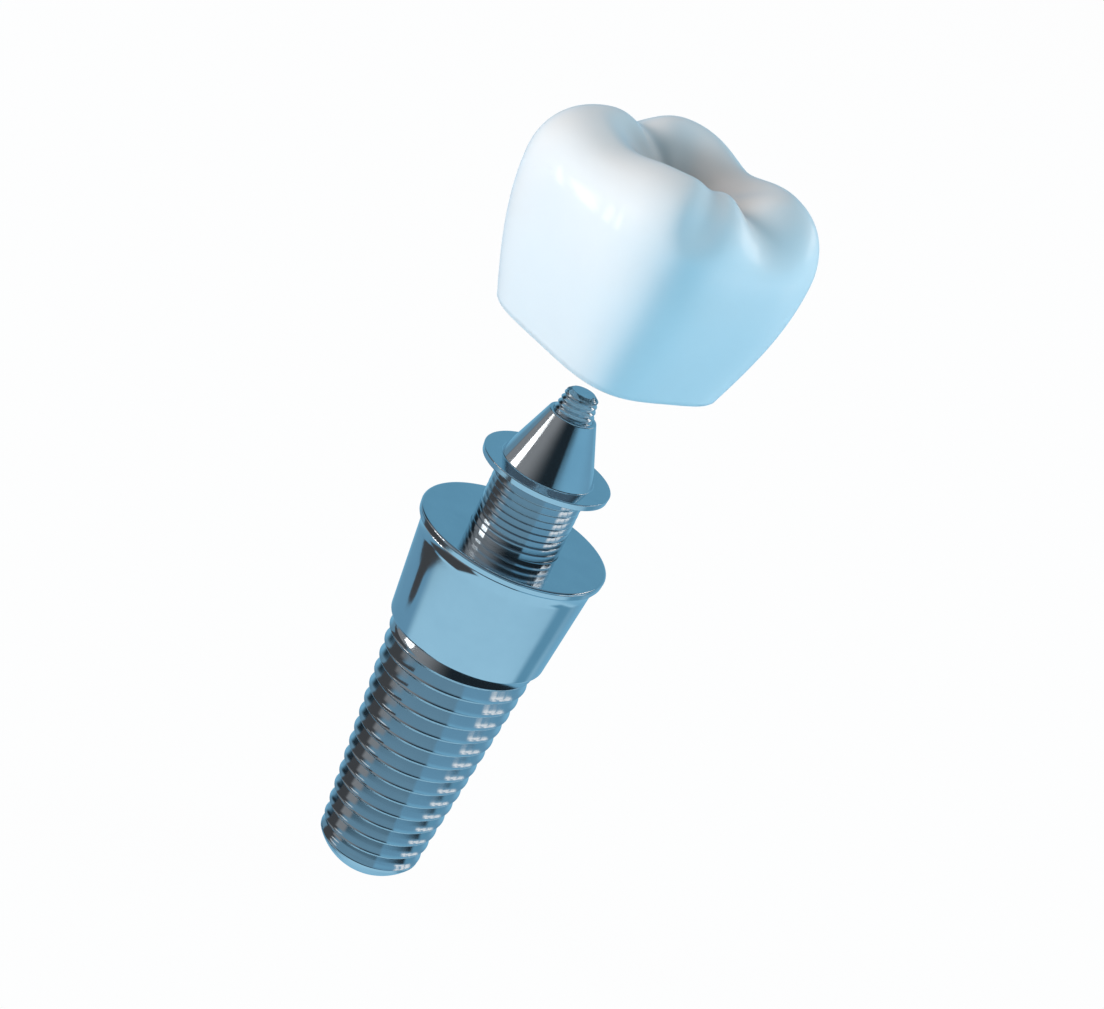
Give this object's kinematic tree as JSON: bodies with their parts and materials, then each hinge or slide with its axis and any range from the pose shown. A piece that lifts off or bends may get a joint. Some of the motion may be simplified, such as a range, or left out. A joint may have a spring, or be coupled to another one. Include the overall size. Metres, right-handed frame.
{
  "type": "dental implant",
  "caption": "Screw-type dental implant drawn apart along its axis: tapered threaded fixture with flared collar, flanged cone abutment, threaded abutment screw and glazed molar crown.",
  "frame": {"origin": "on the implant's axis at bone level, the underside of the fixture's collar", "axes": "+Z along the axis from the bone towards the crown, +X towards the crown's side with the groove near its corner, -Y towards the crown's broad white side"},
  "size_m": [0.0092, 0.0082, 0.0294],
  "materials": {
    "titanium": "polished, lightly blued titanium",
    "ceramic": "glazed white ceramic"
  },
  "bodies": {
    "fixture": {"fixture": "titanium"},
    "abutment": {"abutment": "titanium"},
    "abutment_screw": {"abutment_screw": "titanium"},
    "crown": {"crown": "ceramic"}
  },
  "joints": [
    {"name": "abutment_slide", "type": "slide", "parent": "fixture", "child": "abutment", "axis": [0, 0, 1], "range_m": [-0.00258, 0]},
    {"name": "screw_turn", "type": "hinge", "parent": "abutment", "child": "abutment_screw", "pos_m": [0, 0, 0.00685], "axis": [0, 0, 1], "range_deg": [-3492, 0]},
    {"name": "crown_slide", "type": "slide", "parent": "abutment", "child": "crown", "axis": [0, 0, 1], "range_m": [-0.00498, 0]}
  ],
  "couplings": [
    {"joint": "screw_turn", "follows": "abutment_slide", "rad_per_m": 23621}
  ]
}
